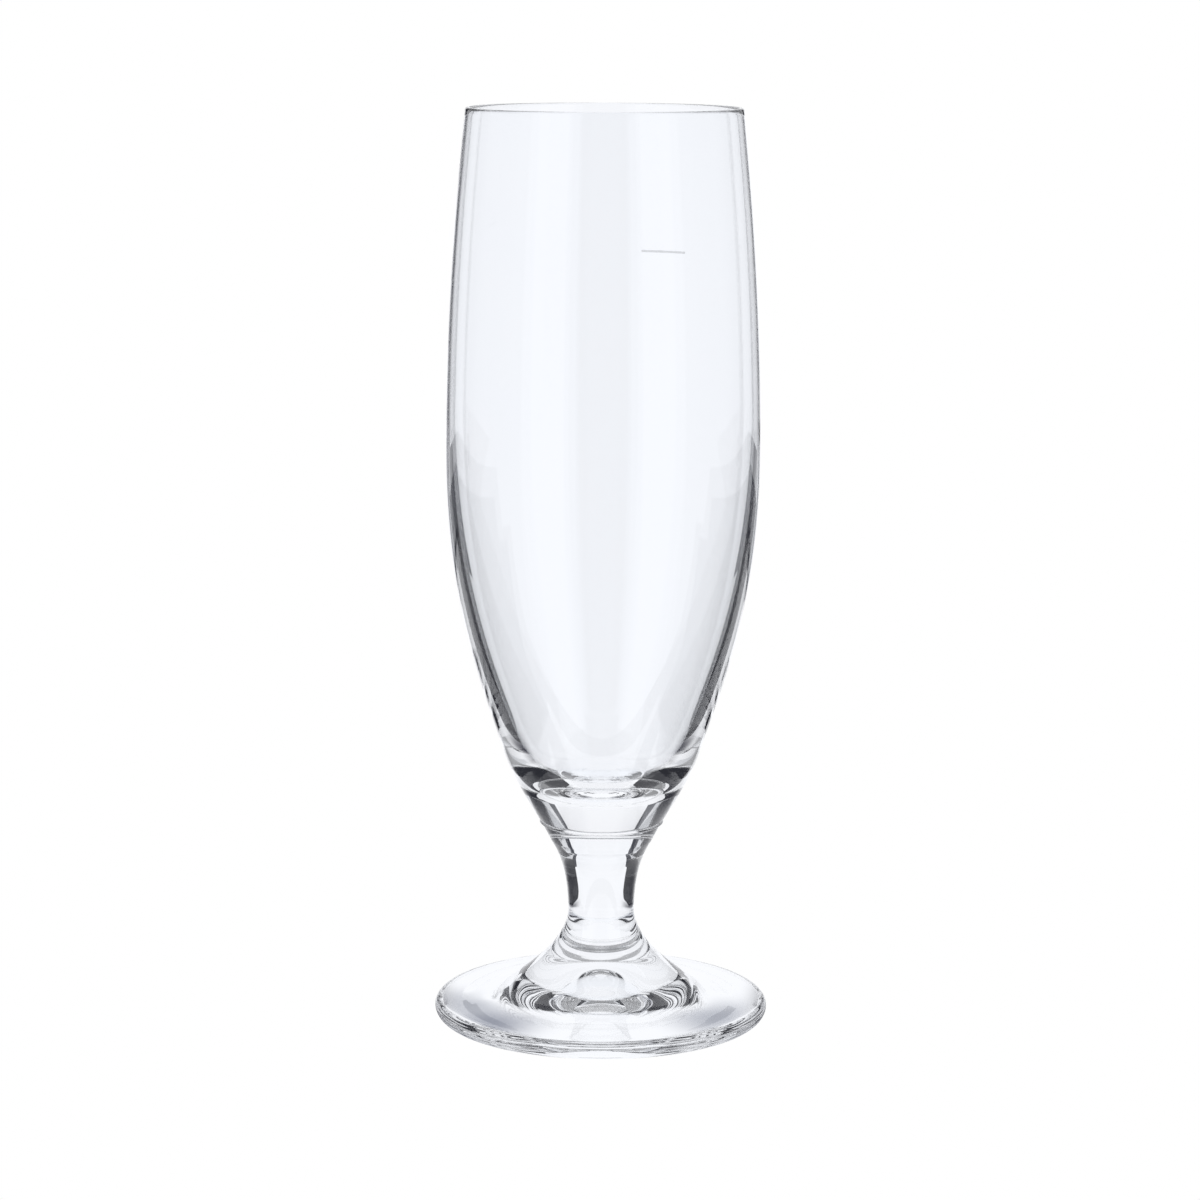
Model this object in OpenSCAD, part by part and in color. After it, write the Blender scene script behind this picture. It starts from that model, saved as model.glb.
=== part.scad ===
// Footed pilsner glass for 0.3 litres. A blown bowl is fused to a pressed stem, and the stem
// to a pressed foot, at flat faces. A fill line of fired enamel marks the rated volume.
// Millimetres, +Z up, origin at the centre of the foot's standing face.

/* [Bowl] */
// Height of the whole glass, from the table to the lip
glass_h = 199.7; // [188:0.1:218]
// Outer diameter at the rim
rim_d = 59.5; // [54:0.1:66]
// Lean of the wall at the rim, inwards from vertical, in degrees
rim_lean = 6; // [0:0.5:12]
// Length over which the wall holds that lean
rim_pull = 19.7; // [10:0.1:30]
// Outer diameter of the belly, the widest place of the bowl
belly_d = 68; // [64:0.1:76]
// Height of the belly above the table
belly_z = 125.4; // [115:0.1:136]
// Upward reach of the belly's curve
shoulder_pull = 29.6; // [20:0.1:40]
// Downward reach of the belly's curve
hip_pull = 31.6; // [20:0.1:40]
// Outer diameter of the heel, where the wall turns in towards the stem
heel_d = 42.8; // [38:0.1:50]
// Height of the heel above the bowl's end
heel_rise = 16.2; // [12:0.1:22]
// Lean of the wall at the heel, outwards from vertical, in degrees
heel_lean = 18.4; // [12:0.2:24]
// Upward reach of the heel's curve
heel_pull_up = 16.8; // [10:0.1:24]
// Downward reach of the heel's curve
heel_pull_down = 6.5; // [3:0.1:8]
// Diameter of the bowl's end, where it is fused to the stem
bowl_end_d = 26; // [23:0.1:31]
// Flare of the bowl's end, outwards from vertical, in degrees
bowl_end_flare = 31; // [20:1:40]
// Length over which the bowl's end holds that flare
bowl_end_pull = 3.9; // [2:0.1:8]

/* [Inside of the bowl] */
// Wall thickness of the upper bowl, up to its fully rounded lip
wall_t = 1.2; // [0.8:0.05:2]
// Height above the belly at which the wall starts to thicken downwards
taper_rise = 8; // [4:0.1:20]
// Length over which the wall stays even below that height
taper_pull = 9.5; // [4:0.1:20]
// Wall thickness at the knee, where the wall turns in to the floor
knee_t = 3.9; // [3:0.1:5.5]
// Height of the knee above the bowl's end
knee_rise = 18.6; // [15:0.1:22]
// Glass that the wall loses at once above the knee
knee_thin = 1; // [0:0.1:1.6]
// Length over which it loses that glass
knee_pull_up = 5.4; // [2:0.1:12]
// Downward reach of the knee's curve
knee_pull_down = 4.9; // [2:0.1:8]
// Solid glass below the lowest point of the inside
floor_t = 7.9; // [5:0.1:11]
// Sideways reach of the rounded floor
floor_pull = 12.8; // [9:0.1:16]

/* [Stem] */
// Height of the stem between its two fused faces
stem_h = 19.7; // [16:0.1:28]
// Radius of the fine bead round each end of the collar
bead_r = 0.2; // [0.1:0.05:0.4]
// Height of the collar at the top of the stem
collar_h = 3.5; // [2:0.1:5]
// Diameter of the stem where the collar ends
collar_end_d = 22.4; // [19:0.1:25]
// Flare of the stem below the collar, outwards from vertical, in degrees
stem_flare = 25; // [15:1:40]
// Length over which the stem holds that flare
stem_pull = 1; // [0.5:0.5:6]
// Diameter of the neck, where the stem is fused to the foot
neck_d = 14.5; // [12:0.1:18]
// Length over which the stem holds the neck's diameter
neck_pull = 11.2; // [6:0.1:13]

/* [Foot] */
// Height of the foot up to the neck
foot_h = 23.7; // [20:0.1:30]
// Diameter of the foot
foot_d = 73.5; // [66:0.5:84]
// Thickness of the foot at its edge
edge_t = 4.1; // [3.4:0.1:6]
// Rounding of the edge above its widest line
edge_top_r = 1.7; // [0.8:0.1:2]
// Slope of the foot's top at its edge, in degrees
edge_slope = 5; // [2:1:10]
// Length over which the foot's top holds that slope
edge_pull = 12.8; // [6:0.1:16]
// Diameter of the foot's cone half way down
cone_d = 28.1; // [24:0.1:32]
// Height of the foot's cone half way down
cone_z = 12.4; // [11:0.1:15]
// Slope of the cone, in degrees
cone_slope = 42; // [36:1:50]
// Length of the cone above that place
cone_pull_up = 9.4; // [6:0.1:11]
// Length of the cone below that place
cone_pull_down = 7.9; // [5:0.1:10]
// Length over which the foot holds the neck's diameter
foot_neck_pull = 0.3; // [0.1:0.1:4]
// Width of the flat ring that stands on the table
ring_w = 3.6; // [2:0.1:6]
// Height of the shallow hollow inside that ring
dish_h = 1.2; // [0.8:0.1:2.4]
// Sideways reach of the hollow's curve at the ring
dish_pull = 4; // [1:0.5:8]
// Slope of the hollow's brim where it turns up into the dome, in degrees
brim_slope = 18; // [10:1:22]
// Sideways reach of that brim
brim_pull = 9.9; // [6:0.1:11]
// Diameter of the dome pressed up into the foot's middle
dome_d = 15.8; // [12:0.1:20]
// Height of the dome's edge above the table
dome_edge_z = 3; // [2.6:0.1:4]
// Length over which the dome's edge holds the brim's slope
dome_edge_pull = 2; // [1:0.1:3]
// Height of the dome's top above the table
dome_h = 8.1; // [6:0.1:9.5]
// Sideways reach of the dome's round top
dome_top_pull = 4.9; // [3:0.1:6]

/* [Fill line] */
// Height left above the line for the foam, up to the lip
foam_room = 32.8; // [20:0.1:60]
// Length of the line round the bowl
fill_line_w = 11; // [5:0.5:30]
// Height of the line
fill_line_h = 0.5; // [0.3:0.1:1.5]
// Thickness of the enamel
fill_line_t = 0.05; // [0.03:0.01:0.2]
// Direction of the line round the axis, in degrees from +X
fill_line_turn = 65; // [0:1:359]

/* [Hidden] */
$fn = 96;
curve_steps = 16; // straight pieces in a curve
round_steps = 8; // straight pieces in a rounded edge
clear_glass = [0.80, 0.88, 0.92, 0.45];
white_enamel = [0.93, 0.94, 0.94];

neck = [neck_d / 2, foot_h];
bowl_z = foot_h + stem_h;
bowl_end = [bowl_end_d / 2, bowl_z];
heel = [heel_d / 2, bowl_z + heel_rise];
belly = [belly_d / 2, belly_z];
lip_r = wall_t / 2;
lip_outside = [rim_d / 2, glass_h - lip_r];
floor_centre = [0, bowl_z + floor_t];
knee_z = bowl_z + knee_rise;
taper_z = belly_z + taper_rise;
fill_z = glass_h - foam_room;

// A step of one millimetre in the profile's plane, by its angle from the radius
function heading(angle) = [cos(angle), sin(angle)];

// A cubic curve from a towards d that leaves along b and arrives along c, without d itself
function curve(a, b, c, d) = [
    for (i = [0:curve_steps - 1])
        let (t = i / curve_steps, u = 1 - t)
            u * u * u * a + 3 * u * u * t * b + 3 * u * t * t * c + t * t * t * d
];

// A rounded edge about a centre, from one heading to another
function rounding(centre, r, from, to) = [
    for (i = [0:round_steps]) centre + r * heading(from + (to - from) * i / round_steps)
];

function reversed(points) = [for (i = [len(points) - 1:-1:0]) points[i]];

// Outside of the bowl, from the stem up to the lip
bowl_outside = concat(
    curve(
        bowl_end,
        bowl_end + bowl_end_pull * heading(90 - bowl_end_flare),
        heel - heel_pull_down * heading(90 - heel_lean),
        heel
    ),
    curve(heel, heel + heel_pull_up * heading(90 - heel_lean), belly - [0, hip_pull], belly),
    curve(
        belly,
        belly + [0, shoulder_pull],
        lip_outside - rim_pull * heading(90 + rim_lean),
        lip_outside
    ),
    [lip_outside]
);

// Radius of an upward profile at a height
function radius_at(points, z) = lookup(z, [for (p = points) [p.y, p.x]]);

// Thickness of the wall by height, from the knee up to the even wall
wall = concat(
    curve(
        [knee_t, knee_z],
        [knee_t - knee_thin, knee_z + knee_pull_up],
        [wall_t, taper_z - taper_pull],
        [wall_t, taper_z]
    ),
    [[wall_t, taper_z]]
);
wall_inside = [for (w = wall) [radius_at(bowl_outside, w.y) - w.x, w.y]];
knee = wall_inside[0];
knee_way = (wall_inside[1] - knee) / norm(wall_inside[1] - knee);

// Inside of the bowl, from the floor up to the lip: a round floor that turns up at the knee,
// a wall that thins upwards, then an even one
bowl_inside = concat(
    curve(
        floor_centre,
        floor_centre + [floor_pull, 0],
        knee - knee_pull_down * knee_way,
        knee
    ),
    wall_inside,
    [for (p = bowl_outside) if (p.y > taper_z) p - [wall_t, 0]]
);

// Volume in millilitres between two points of a profile, as a slice of a cone
function slice_ml(low, high) =
    PI / 3 * (high.y - low.y) * (low.x * low.x + low.x * high.x + high.x * high.x) / 1000;

// The drink, up to the fill line, and its volume
drink = concat(
    [for (p = bowl_inside) if (p.y < fill_z) p],
    [[radius_at(bowl_inside, fill_z), fill_z]]
);
slices = [for (i = [1:len(drink) - 1]) slice_ml(drink[i - 1], drink[i])];
echo(ml_to_fill_line = slices * [for (s = slices) 1]);

module foot() {
    cone = [cone_d / 2, cone_z];
    edge_bottom_r = edge_t - edge_top_r;
    edge_top_centre = [foot_d / 2 - edge_top_r, edge_bottom_r];
    edge_bottom_centre = [foot_d / 2 - edge_bottom_r, edge_bottom_r];
    edge_top = edge_top_centre + edge_top_r * heading(90 - edge_slope);
    dish_edge = [edge_bottom_centre.x - ring_w, 0];
    dome_edge = [dome_d / 2, dome_edge_z];
    dome_top = [0, dome_h];
    brim = heading(180 - brim_slope);
    top = concat(
        curve(neck, neck - [0, foot_neck_pull], cone - cone_pull_up * heading(-cone_slope), cone),
        curve(
            cone,
            cone + cone_pull_down * heading(-cone_slope),
            edge_top - edge_pull * heading(-edge_slope),
            edge_top
        )
    );
    edge = concat(
        rounding(edge_top_centre, edge_top_r, 90 - edge_slope, 0),
        rounding(edge_bottom_centre, edge_bottom_r, 0, -90)
    );
    underside = concat(
        curve(
            dish_edge,
            dish_edge + [-dish_pull, dish_h],
            dome_edge - brim_pull * brim,
            dome_edge
        ),
        curve(
            dome_edge,
            dome_edge + dome_edge_pull * brim,
            dome_top + [dome_top_pull, 0],
            dome_top
        ),
        [dome_top]
    );
    color(clear_glass)
        rotate_extrude()
            polygon(concat([[0, neck.y]], top, edge, underside));
}

module stem() {
    bead_drop = [0, bead_r];
    collar_end = [collar_end_d / 2, bowl_z - collar_h];
    collar = concat(
        rounding(bowl_end - bead_drop, bead_r, 90, -90),
        rounding(collar_end + bead_drop, bead_r, 90, -90)
    );
    flare = curve(
        collar_end,
        collar_end - stem_pull * heading(90 - stem_flare),
        neck + [0, neck_pull],
        neck
    );
    color(clear_glass)
        rotate_extrude()
            polygon(concat([[0, bowl_z]], collar, flare, [neck, [0, neck.y]]));
}

module bowl() {
    lip = rounding(lip_outside - [lip_r, 0], lip_r, 0, 180);
    color(clear_glass)
        rotate_extrude()
            polygon(concat([[0, bowl_z]], bowl_outside, lip, reversed(bowl_inside)));
}

module fill_line() {
    low = [radius_at(bowl_outside, fill_z - fill_line_h / 2), fill_z - fill_line_h / 2];
    high = [radius_at(bowl_outside, fill_z + fill_line_h / 2), fill_z + fill_line_h / 2];
    enamel = [fill_line_t, 0];
    span = fill_line_w / low.x * 180 / PI;
    color(white_enamel)
        rotate(fill_line_turn - span / 2)
            rotate_extrude(angle = span)
                polygon([low, low + enamel, high + enamel, high]);
}

foot();
stem();
bowl();
fill_line();
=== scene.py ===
import math
import bmesh
import bpy
from mathutils import Matrix, Vector, noise


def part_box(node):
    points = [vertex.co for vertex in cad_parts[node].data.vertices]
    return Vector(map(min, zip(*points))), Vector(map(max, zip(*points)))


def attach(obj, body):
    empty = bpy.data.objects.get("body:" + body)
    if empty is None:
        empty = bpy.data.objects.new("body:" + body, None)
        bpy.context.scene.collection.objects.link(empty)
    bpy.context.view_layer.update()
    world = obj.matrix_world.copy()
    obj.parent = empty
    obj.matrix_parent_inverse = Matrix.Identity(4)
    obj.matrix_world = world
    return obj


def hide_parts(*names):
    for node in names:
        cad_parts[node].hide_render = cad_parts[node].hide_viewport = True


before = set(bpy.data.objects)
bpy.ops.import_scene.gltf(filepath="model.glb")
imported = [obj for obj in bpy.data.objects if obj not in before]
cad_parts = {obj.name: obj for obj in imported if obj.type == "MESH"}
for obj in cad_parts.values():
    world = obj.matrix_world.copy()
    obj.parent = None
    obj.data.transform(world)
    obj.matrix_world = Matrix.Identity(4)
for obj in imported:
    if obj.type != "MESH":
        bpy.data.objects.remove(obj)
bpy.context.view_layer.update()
mm = 0.001  # sizes below are in millimetres and degrees, the scene is in metres
tiny = 1e-7  # metres within which two places are the same
sharpAngle = 35  # faces that meet at more than this keep a crisp edge
roundSteps = 12
print("frame loaded:", ", ".join(sorted(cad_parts)))


def heading(angle):
    return Vector((math.cos(math.radians(angle)), math.sin(math.radians(angle))))


def curve(a, b, c, d, steps):
    # cubic from a towards d, without d itself
    points = []
    for i in range(steps):
        t = i / steps
        u = 1 - t
        points.append(u ** 3 * a + 3 * u * u * t * b + 3 * u * t * t * c + t ** 3 * d)
    return points


def rounding(centre, radius, start, end, steps=roundSteps):
    span = end - start
    return [centre + radius * heading(start + span * i / steps) for i in range(steps + 1)]


def turnProfile(points, turns):
    # a profile in millimetres, spun once round the axis and closed
    bm = bmesh.new()
    verts = [bm.verts.new((p.x * mm, 0, p.y * mm)) for p in points]
    edges = [bm.edges.new(pair) for pair in zip(verts, verts[1:])]
    bmesh.ops.spin(
        bm, geom=verts + edges, cent=(0, 0, 0), axis=(0, 0, 1), dvec=(0, 0, 0),
        angle=math.tau, steps=turns, use_merge=True, use_duplicate=False,
    )
    bmesh.ops.remove_doubles(bm, verts=bm.verts, dist=tiny)
    bmesh.ops.recalc_face_normals(bm, faces=bm.faces)
    return bm


def rippled(points, ripples):
    # fine rings between two radii, fading out at both
    for p in points:
        along = (p.x - ripples["from"]) / (ripples["to"] - ripples["from"])
        if 0 < along < 1:
            wave = math.sin(math.tau * (p.x - ripples["from"]) / ripples["pitch"])
            p.y += ripples["depth"] * math.sin(math.pi * along) * wave
    return points


def warped(bm, warp):
    # soft unevenness of the hollow underneath, strongest half way between two radii
    bm.normal_update()
    for vert in bm.verts:
        along = (vert.co.xy.length - warp["from"] * mm) / ((warp["to"] - warp["from"]) * mm)
        if vert.normal.z < 0 and 0 < along < 1:
            swell = noise.noise(vert.co / (warp["pitch"] * mm) + Vector(warp["seed"]))
            vert.co.z += warp["depth"] * mm * math.sin(math.pi * along) * swell


def finishPiece(name, bm, materials):
    mesh = bpy.data.meshes.new(name)
    for face in bm.faces:
        face.smooth = True
    bm.to_mesh(mesh)
    bm.free()
    mesh.set_sharp_from_angle(angle=math.radians(sharpAngle))
    for material in materials:
        mesh.materials.append(material)
    piece = bpy.data.objects.new(name, mesh)
    bpy.context.scene.collection.objects.link(piece)
    print("piece made:", name, len(mesh.polygons), "faces")
    return piece


def markWeld(bm, height, radius):
    # faces inside the fused joint take the second material
    for face in bm.faces:
        centre = face.calc_center_median()
        if abs(centre.z - height * mm) < tiny and centre.xy.length < radius * mm:
            face.material_index = 1


# Materials

def makeUnevenness():
    # what heat and a mould leave in clear glass: a slow swell of the face and a hint of colour
    group = bpy.data.node_groups.new("unevenGlass", "ShaderNodeTree")
    sockets = group.interface
    sockets.new_socket("Waves per metre", in_out="INPUT", socket_type="NodeSocketFloat")
    sockets.new_socket("Swell", in_out="INPUT", socket_type="NodeSocketFloat")
    sockets.new_socket("Clear", in_out="INPUT", socket_type="NodeSocketColor")
    sockets.new_socket("Deep", in_out="INPUT", socket_type="NodeSocketColor")
    sockets.new_socket("Colour", in_out="OUTPUT", socket_type="NodeSocketColor")
    sockets.new_socket("Normal", in_out="OUTPUT", socket_type="NodeSocketVector")
    nodes = group.nodes
    start = nodes.new("NodeGroupInput")
    end = nodes.new("NodeGroupOutput")
    place = nodes.new("ShaderNodeTexCoord")
    waves = nodes.new("ShaderNodeTexNoise")
    waves.inputs["Detail"].default_value = 1
    bump = nodes.new("ShaderNodeBump")
    mix = nodes.new("ShaderNodeMix")
    mix.data_type = "RGBA"
    group.links.new(place.outputs["Object"], waves.inputs["Vector"])
    group.links.new(start.outputs["Waves per metre"], waves.inputs["Scale"])
    group.links.new(waves.outputs["Fac"], bump.inputs["Height"])
    group.links.new(start.outputs["Swell"], bump.inputs["Distance"])
    group.links.new(waves.outputs["Fac"], mix.inputs["Factor"])
    group.links.new(start.outputs["Clear"], mix.inputs["A"])
    group.links.new(start.outputs["Deep"], mix.inputs["B"])
    group.links.new(mix.outputs["Result"], end.inputs["Colour"])
    group.links.new(bump.outputs["Normal"], end.inputs["Normal"])
    return group


unevenness = makeUnevenness()
blownGlass = {
    "name": "blownGlass",
    "index": 1.52,
    "waves": 40,
    "swell": 0.03,
    "clear": (0.985, 0.992, 1),
    "deep": (0.975, 0.986, 1),
}
pressedGlass = {
    "name": "pressedGlass",
    "index": 1.52,
    "waves": 90,
    "swell": 0.03,
    "clear": (0.98, 0.99, 1),
    "deep": (0.965, 0.98, 1),
}


def glassMaterial(s):
    material = bpy.data.materials.new(s["name"])
    material.use_nodes = True
    tree = material.node_tree
    shader = tree.nodes["Principled BSDF"]
    shader.inputs["Roughness"].default_value = 0.0
    shader.inputs["IOR"].default_value = s["index"]
    shader.inputs["Transmission Weight"].default_value = 1.0
    uneven = tree.nodes.new("ShaderNodeGroup")
    uneven.node_tree = unevenness
    uneven.inputs["Waves per metre"].default_value = s["waves"]
    uneven.inputs["Swell"].default_value = s["swell"] * mm
    uneven.inputs["Clear"].default_value = (*s["clear"], 1)
    uneven.inputs["Deep"].default_value = (*s["deep"], 1)
    tree.links.new(uneven.outputs["Colour"], shader.inputs["Base Color"])
    tree.links.new(uneven.outputs["Normal"], shader.inputs["Normal"])
    return material


enamel = {
    "grains": 2500,
    "light": (0.8, 0.81, 0.82),
    "dark": (0.66, 0.67, 0.69),
    "smooth": 0.38,
    "dull": 0.55,
    "cover": 0.2,
}


def enamelMaterial(s):
    # screen print, fired on: a thin cover with fine grain in its colour and its gloss
    material = bpy.data.materials.new("whiteEnamel")
    material.use_nodes = True
    tree = material.node_tree
    shader = tree.nodes["Principled BSDF"]
    shader.inputs["Alpha"].default_value = s["cover"]
    place = tree.nodes.new("ShaderNodeTexCoord")
    grain = tree.nodes.new("ShaderNodeTexNoise")
    grain.inputs["Scale"].default_value = s["grains"]
    colour = tree.nodes.new("ShaderNodeMix")
    colour.data_type = "RGBA"
    colour.inputs["A"].default_value = (*s["light"], 1)
    colour.inputs["B"].default_value = (*s["dark"], 1)
    gloss = tree.nodes.new("ShaderNodeMapRange")
    gloss.inputs["To Min"].default_value = s["smooth"]
    gloss.inputs["To Max"].default_value = s["dull"]
    tree.links.new(place.outputs["Object"], grain.inputs["Vector"])
    tree.links.new(grain.outputs["Fac"], colour.inputs["Factor"])
    tree.links.new(colour.outputs["Result"], shader.inputs["Base Color"])
    tree.links.new(grain.outputs["Fac"], gloss.inputs["Value"])
    tree.links.new(gloss.outputs["Result"], shader.inputs["Roughness"])
    return material


def weldMaterial():
    # the fused faces don't show: light goes straight on from one piece of glass into the next
    material = bpy.data.materials.new("fusedGlass")
    material.use_nodes = True
    shader = material.node_tree.nodes["Principled BSDF"]
    shader.inputs["Alpha"].default_value = 0.0
    return material


bowlGlass = glassMaterial(blownGlass)
footGlass = glassMaterial(pressedGlass)
fusedGlass = weldMaterial()

# Bowl

bowlSizes = {
    "height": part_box("bowl")[1][2] / mm,
    "rimRadius": 29.75,
    "rimLean": 6,
    "rimPull": 19.7,
    "bellyRadius": 34,
    "bellyHeight": 125.4,
    "shoulderPull": 29.6,
    "hipPull": 31.6,
    "heelRadius": 21.4,
    "heelRise": 16.2,
    "heelLean": 18.4,
    "heelPullUp": 16.8,
    "heelPullDown": 6.5,
    "endRadius": 13,
    "endHeight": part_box("bowl")[0][2] / mm,
    "endFlare": 31,
    "endPull": 3.9,
    "ringRise": 0.65,
    "ringRound": 0.3,
    "ringSteps": 10,
    "wall": 1.2,
    "taperRise": 8,
    "taperPull": 9.5,
    "kneeWall": 3.9,
    "kneeRise": 18.6,
    "kneeThin": 1,
    "kneePullUp": 5.4,
    "kneePullDown": 4.9,
    "floor": 7.9,
    "floorPull": 12.8,
    "floorSteps": 120,
    "ripples": {"from": 0, "to": 8, "pitch": 1.7, "depth": 0.03},
    "steps": 40,
    "turns": 256,
}


def bowlOutside(s):
    end = Vector((s["endRadius"], s["endHeight"]))
    heel = Vector((s["heelRadius"], s["endHeight"] + s["heelRise"]))
    belly = Vector((s["bellyRadius"], s["bellyHeight"]))
    lip = Vector((s["rimRadius"], s["height"] - s["wall"] / 2))
    heelWay = heading(90 - s["heelLean"])
    points = curve(
        end, end + s["endPull"] * heading(90 - s["endFlare"]),
        heel - s["heelPullDown"] * heelWay, heel, s["steps"],
    )
    ring = end + s["ringRise"] * heading(90 - s["endFlare"])
    above = [p for p in points if p.y > ring.y + s["ringRound"]]
    points = [end] + rounding(ring, s["ringRound"], -90, 90, s["ringSteps"]) + above
    points += curve(
        heel, heel + s["heelPullUp"] * heelWay,
        belly - Vector((0, s["hipPull"])), belly, s["steps"],
    )
    points += curve(
        belly, belly + Vector((0, s["shoulderPull"])),
        lip - s["rimPull"] * heading(90 + s["rimLean"]), lip, s["steps"],
    )
    return points + [lip]


def radiusAt(points, height):
    for low, high in zip(points, points[1:]):
        if low.y <= height <= high.y:
            return low.x + (high.x - low.x) * (height - low.y) / (high.y - low.y)
    return points[-1].x


def bowlInside(s, outside):
    floor = Vector((0, s["endHeight"] + s["floor"]))
    kneeHeight = s["endHeight"] + s["kneeRise"]
    taperHeight = s["bellyHeight"] + s["taperRise"]
    thickness = curve(
        Vector((s["kneeWall"], kneeHeight)),
        Vector((s["kneeWall"] - s["kneeThin"], kneeHeight + s["kneePullUp"])),
        Vector((s["wall"], taperHeight - s["taperPull"])),
        Vector((s["wall"], taperHeight)), s["steps"],
    )
    lower = [Vector((radiusAt(outside, t.y) - t.x, t.y)) for t in thickness]
    kneeWay = (lower[1] - lower[0]).normalized()
    bottom = curve(
        floor, floor + Vector((s["floorPull"], 0)),
        lower[0] - s["kneePullDown"] * kneeWay, lower[0], s["floorSteps"],
    )
    upper = [p - Vector((s["wall"], 0)) for p in outside if p.y >= taperHeight]
    return rippled(bottom, s["ripples"]) + lower + upper


def makeBowl(s):
    outside = bowlOutside(s)
    inside = bowlInside(s, outside)
    lipRadius = s["wall"] / 2
    lip = rounding(outside[-1] - Vector((lipRadius, 0)), lipRadius, 0, 180)
    weldMiddle = [Vector((0, s["endHeight"]))]
    bm = turnProfile(weldMiddle + outside + lip[1:-1] + inside[::-1], s["turns"])
    markWeld(bm, s["endHeight"], s["endRadius"])
    return finishPiece("bowlShell", bm, [bowlGlass, fusedGlass])


# Stem

stemSizes = {
    "collarHeight": 3.5,
    "collarEndRadius": 11.2,
    "flare": 25,
    "flarePull": 1,
    "neckRadius": 7.25,
    "neckHeight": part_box("stem")[0][2] / mm,
    "neckPull": 11.2,
    "steps": 40,
    "turns": 192,
}


def makeStem(s, bowl):
    top = Vector((bowl["endRadius"], bowl["endHeight"]))
    collarEnd = Vector((s["collarEndRadius"], bowl["endHeight"] - s["collarHeight"]))
    neck = Vector((s["neckRadius"], s["neckHeight"]))
    points = [Vector((0, top.y)), top]
    points += curve(
        collarEnd, collarEnd - s["flarePull"] * heading(90 - s["flare"]),
        neck + Vector((0, s["neckPull"])), neck, s["steps"],
    )
    points += [neck, Vector((0, s["neckHeight"]))]
    bm = turnProfile(points, s["turns"])
    markWeld(bm, top.y, top.x)
    markWeld(bm, s["neckHeight"], s["neckRadius"])
    return finishPiece("stemRod", bm, [footGlass, fusedGlass])


# Foot

footSizes = {
    "radius": 36.75,
    "edge": 4.1,
    "edgeTopRound": 1.7,
    "edgeSlope": 5,
    "edgePull": 12.8,
    "coneRadius": 14.05,
    "coneHeight": 12.4,
    "coneSlope": 42,
    "conePullUp": 9.4,
    "conePullDown": 7.9,
    "neckPull": 0.3,
    "ring": 3.6,
    "dishHeight": 1.53,
    "dishPull": 7.5,
    "brimSlope": 11.5,
    "brimPull": 7.5,
    "domeRadius": 12,
    "domeEdgeHeight": 3.8,
    "domeEdgePull": 3,
    "domeHeight": 8.5,
    "domeTopPull": 5,
    "warp": {"from": 12, "to": 30, "pitch": 11, "depth": 0.15, "seed": (3.1, 0.4, 0)},
    "steps": 40,
    "domeSteps": 60,
    "turns": 400,
}


def makeFoot(s, stem):
    neck = Vector((stem["neckRadius"], stem["neckHeight"]))
    cone = Vector((s["coneRadius"], s["coneHeight"]))
    coneWay = heading(-s["coneSlope"])
    lowRound = s["edge"] - s["edgeTopRound"]
    topCentre = Vector((s["radius"] - s["edgeTopRound"], lowRound))
    lowCentre = Vector((s["radius"] - lowRound, lowRound))
    edgeTop = topCentre + s["edgeTopRound"] * heading(90 - s["edgeSlope"])
    dishEdge = Vector((lowCentre.x - s["ring"], 0))
    domeEdge = Vector((s["domeRadius"], s["domeEdgeHeight"]))
    domeTop = Vector((0, s["domeHeight"]))
    brimWay = heading(180 - s["brimSlope"])
    points = [Vector((0, stem["neckHeight"]))]
    points += curve(
        neck, neck - Vector((0, s["neckPull"])), cone - s["conePullUp"] * coneWay, cone, s["steps"]
    )
    points += curve(
        cone, cone + s["conePullDown"] * coneWay,
        edgeTop - s["edgePull"] * heading(-s["edgeSlope"]), edgeTop, s["steps"],
    )
    points += rounding(topCentre, s["edgeTopRound"], 90 - s["edgeSlope"], 0)
    points += rounding(lowCentre, lowRound, 0, -90)[1:]
    points += curve(
        dishEdge, dishEdge + Vector((-s["dishPull"], s["dishHeight"])),
        domeEdge - s["brimPull"] * brimWay, domeEdge, s["domeSteps"],
    )
    points += curve(
        domeEdge, domeEdge + s["domeEdgePull"] * brimWay,
        domeTop + Vector((s["domeTopPull"], 0)), domeTop, s["domeSteps"],
    )
    points += [domeTop]
    bm = turnProfile(points, s["turns"])
    warped(bm, s["warp"])
    markWeld(bm, stem["neckHeight"], stem["neckRadius"])
    return finishPiece("footDisc", bm, [footGlass, fusedGlass])


bowl = makeBowl(bowlSizes)
stem = makeStem(stemSizes, bowlSizes)
foot = makeFoot(footSizes, stemSizes)
for piece, node in ((bowl, "bowl"), (stem, "stem"), (foot, "foot")):
    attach(piece, "root")
    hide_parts(node)

# Fill line

fillLine = bpy.data.objects["fill_line"]
fillLine.data.materials.clear()
fillLine.data.materials.append(enamelMaterial(enamel))
print("fill line enamelled")

# Camera

cameraSizes = {
    "lens": 105,
    "sensor": 36,
    "near": 10,
    "far": 50000,
    "place": (-0.54, -751.7, 225.75),
    "pitch": 10,
    "roll": 0.25,
}


def makeCamera(s):
    data = bpy.data.cameras.new("photoCamera")
    data.lens = s["lens"]
    data.sensor_width = s["sensor"]
    data.clip_start = s["near"] * mm
    data.clip_end = s["far"] * mm
    camera = bpy.data.objects.new("photoCamera", data)
    bpy.context.scene.collection.objects.link(camera)
    look = Matrix.Rotation(math.radians(90 - s["pitch"]), 4, "X")
    roll = Matrix.Rotation(math.radians(s["roll"]), 4, "Z")
    camera.matrix_world = Matrix.Translation(Vector(s["place"]) * mm) @ look @ roll
    bpy.context.scene.camera = camera
    return camera


camera = makeCamera(cameraSizes)

# Stage: a white floor and world for the camera, and a light rig for the glass that turns with the camera

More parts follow.
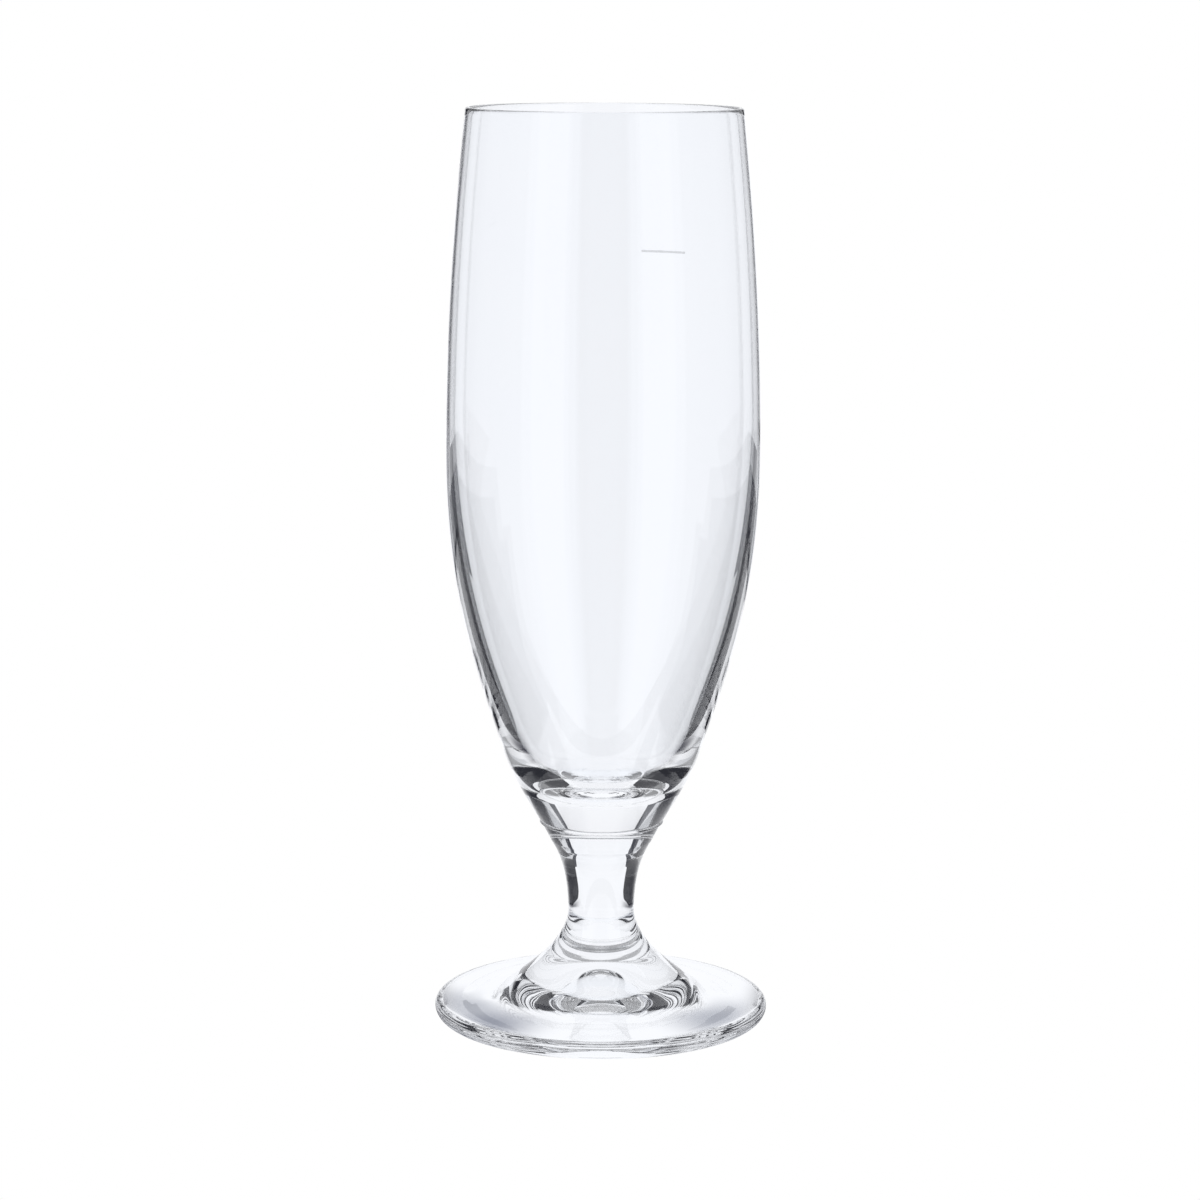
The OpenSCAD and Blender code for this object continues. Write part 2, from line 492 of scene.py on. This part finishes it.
deepShade = (0.03, 0.03, 0.05)
sweepSizes = {
    "left": -78,
    "right": 84,
    "front": -45,
    "back": 140,
    "bend": 20,
    "top": 400,
    "light": 1.02,
    "shadeRise": 1000,
    "shades": (
        {"centre": (-25, -18), "reach": (19, 22), "colour": (0.2, 0.22, 0.29)},
        {"centre": (-31, -5), "reach": (14, 18), "colour": (0.36, 0.38, 0.44)},
        {"centre": (26, -14), "reach": (18, 22), "colour": (0.34, 0.36, 0.42)},
        {"centre": (-38, -6), "reach": (9, 34), "colour": deepShade},
        {"centre": (38, -6), "reach": (9, 34), "colour": deepShade},
        {"centre": (-66, 40), "reach": (30, 104), "colour": deepShade},
        {"centre": (70, 40), "reach": (30, 104), "colour": deepShade},
    ),
}
dusk = (0.9, 0.93, 1.15)  # the tint of the dark sheets
panelSizes = {
    "leftBox": {"ends": ((-442, -249), (-243, -457)), "low": -900, "high": 550, "light": 1.0},
    "rightBox": {"ends": ((243, -457), (442, -249)), "low": -900, "high": 550, "light": 1.0},
    "frontFill": {"ends": ((-250, -700), (250, -700)), "low": -900, "high": 600, "light": 0.5},
    "topBox": {
        "ends": ((-400, 220), (400, 220)), "tops": ((-400, 800), (400, 800)),
        "low": 500, "high": 500, "light": 0.9,
    },
    "ceiling": {
        "ends": ((-400, -600), (400, -600)), "tops": ((-400, 220), (400, 220)),
        "low": 500, "high": 500, "light": 0.3,
    },
    "leftStrip": {"ends": ((-96, 138), (-66, 138)), "low": 60, "high": 400, "light": 0.06, "tint": dusk},
    "rightStrip": {"ends": ((68, 138), (88, 138)), "low": 60, "high": 400, "light": 0.06, "tint": dusk},
    "leftWall": {"ends": ((-74, -40), (-74, 138)), "low": 0, "high": 95, "light": 0.03, "tint": dusk},
    "rightWall": {"ends": ((78, 138), (78, -40)), "low": 0, "high": 95, "light": 0.03, "tint": dusk},
    "table": {
        "ends": ((-650, -60), (650, -60)), "tops": ((-650, 650), (650, 650)),
        "low": -0.08, "high": -0.08, "light": 0.06, "tint": dusk,
    },
}
stageSizes = {
    "white": (0.965, 0.97, 0.995),
    "room": (0.73, 0.74, 0.77),
    "sweepGap": 0.05,
    "floorGap": 0.1,
    "floorWidth": 8000,
    "bounces": 200,
    "clearBounces": 32,
}


def glow(name, light, tint):
    material = bpy.data.materials.new(name)
    material.use_nodes = True
    nodes = material.node_tree.nodes
    nodes.clear()
    out = nodes.new("ShaderNodeOutputMaterial")
    emission = nodes.new("ShaderNodeEmission")
    emission.inputs["Color"].default_value = (*tint, 1)
    emission.inputs["Strength"].default_value = light
    material.node_tree.links.new(emission.outputs["Emission"], out.inputs["Surface"])
    return material


def makeSheet(name, lines, material):
    # a sheet between two lines of points in millimetres
    bm = bmesh.new()
    for line in lines:
        verts = [bm.verts.new(Vector(point) * mm) for point in line]
        for pair in zip(verts, verts[1:]):
            bm.edges.new(pair)
    bmesh.ops.bridge_loops(bm, edges=bm.edges[:])
    mesh = bpy.data.meshes.new(name)
    bm.to_mesh(mesh)
    bm.free()
    mesh.materials.append(material)
    sheet = bpy.data.objects.new(name, mesh)
    bpy.context.scene.collection.objects.link(sheet)
    return sheet


def turnWithCamera(sheet):
    # hidden from the camera, and always on the same sides of the glass as in the photo
    sheet.visible_camera = False
    follow = sheet.constraints.new("COPY_ROTATION")
    follow.target = camera
    follow.use_x = False
    follow.use_y = False


def addShade(tree, shade, rise, colour):
    # a soft patch of shade on the table, laid over the colour so far
    place = tree.nodes.new("ShaderNodeTexCoord")
    middle = tree.nodes.new("ShaderNodeVectorMath")
    middle.operation = "SUBTRACT"
    middle.inputs[1].default_value = Vector((*shade["centre"], 0)) * mm
    spread = tree.nodes.new("ShaderNodeVectorMath")
    spread.operation = "DIVIDE"
    spread.inputs[1].default_value = Vector((*shade["reach"], rise)) * mm
    distance = tree.nodes.new("ShaderNodeVectorMath")
    distance.operation = "LENGTH"
    fade = tree.nodes.new("ShaderNodeMapRange")
    fade.interpolation_type = "SMOOTHERSTEP"
    fade.inputs["From Min"].default_value = 1
    fade.inputs["From Max"].default_value = 0
    mix = tree.nodes.new("ShaderNodeMix")
    mix.data_type = "RGBA"
    mix.inputs["B"].default_value = (*shade["colour"], 1)
    tree.links.new(place.outputs["Object"], middle.inputs[0])
    tree.links.new(middle.outputs["Vector"], spread.inputs[0])
    tree.links.new(spread.outputs["Vector"], distance.inputs[0])
    tree.links.new(distance.outputs["Value"], fade.inputs["Value"])
    tree.links.new(fade.outputs["Result"], mix.inputs["Factor"])
    tree.links.new(colour, mix.inputs["A"])
    return mix.outputs["Result"]


def makeSweep(s, stage):
    level = -stage["sweepGap"]
    bend = rounding(Vector((s["back"] - s["bend"], level + s["bend"])), s["bend"], -90, 0)
    side = [Vector((s["front"], level))] + bend + [Vector((s["back"], s["top"]))]
    lines = [[(x, p.x, p.y) for p in side] for x in (s["left"], s["right"])]
    material = glow("sweep", 1, stage["white"])
    tree = material.node_tree
    white = tree.nodes.new("ShaderNodeRGB")
    white.outputs["Color"].default_value = [s["light"] * part for part in stage["white"]] + [1]
    colour = white.outputs["Color"]
    for shade in s["shades"]:
        colour = addShade(tree, shade, s["shadeRise"], colour)
    tree.links.new(colour, tree.nodes["Emission"].inputs["Color"])
    turnWithCamera(makeSheet("sweep", lines, material))


def makePanels(sizes, stage):
    for name, s in sizes.items():
        low = [(*end, s["low"]) for end in s["ends"]]
        high = [(*end, s["high"]) for end in s.get("tops", s["ends"])]
        material = glow(name, s["light"], s.get("tint", stage["white"]))
        turnWithCamera(makeSheet(name, (low, high), material))


def makeFloor(s):
    # the camera sees this sheet, and the glass does not
    half = s["floorWidth"] / 2
    level = -s["floorGap"]
    lines = [[(-half, y, level), (half, y, level)] for y in (-half, half)]
    floor = makeSheet("floor", lines, glow("floor", 1, (1, 1, 1)))
    floor.visible_glossy = False
    floor.visible_transmission = False


def makeWorld(s):
    # the camera sees white, and the glass a dim room
    world = bpy.data.worlds.new("studio")
    bpy.context.scene.world = world
    world.use_nodes = True
    tree = world.node_tree
    path = tree.nodes.new("ShaderNodeLightPath")
    seen = tree.nodes.new("ShaderNodeMix")
    seen.data_type = "RGBA"
    seen.inputs["A"].default_value = (*s["room"], 1)
    seen.inputs["B"].default_value = (1, 1, 1, 1)
    tree.links.new(path.outputs["Is Camera Ray"], seen.inputs["Factor"])
    tree.links.new(seen.outputs["Result"], tree.nodes["Background"].inputs["Color"])


makeSweep(sweepSizes, stageSizes)
makePanels(panelSizes, stageSizes)
makeFloor(stageSizes)
makeWorld(stageSizes)

scene = bpy.context.scene
scene.view_settings.view_transform = "Standard"
# light that runs along inside the thin wall turns many times before it leaves
scene.cycles.max_bounces = stageSizes["bounces"]
scene.cycles.transmission_bounces = stageSizes["bounces"]
scene.cycles.glossy_bounces = stageSizes["bounces"]
scene.cycles.transparent_max_bounces = stageSizes["clearBounces"]
print("stage made")
